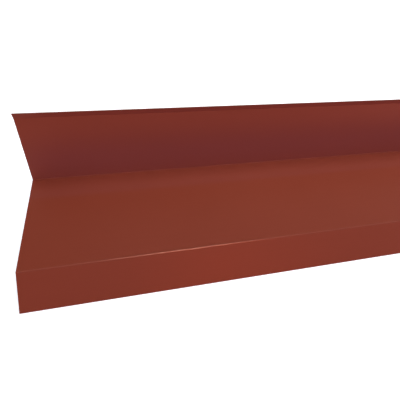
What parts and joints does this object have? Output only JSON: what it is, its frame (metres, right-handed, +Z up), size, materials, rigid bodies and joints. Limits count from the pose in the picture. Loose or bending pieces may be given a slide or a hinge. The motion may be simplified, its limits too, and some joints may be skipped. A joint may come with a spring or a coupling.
{
  "type": "verge flashing",
  "caption": "Long strip of pre-painted steel sheet folded into a lipped upstand, a broad cover and a sloping drip, to weather the edge of a roof.",
  "frame": {"origin": "on the floor, under the middle of the strip's box", "axes": "+X along the strip, +Y from the drip to the upstand, +Z up"},
  "size_m": [2, 0.2186, 0.1055],
  "materials": {
    "painted_sheet": "satin brown-red coil coating on galvanised steel"
  },
  "bodies": {
    "root": {"verge_flashing": "painted_sheet"}
  },
  "joints": []
}
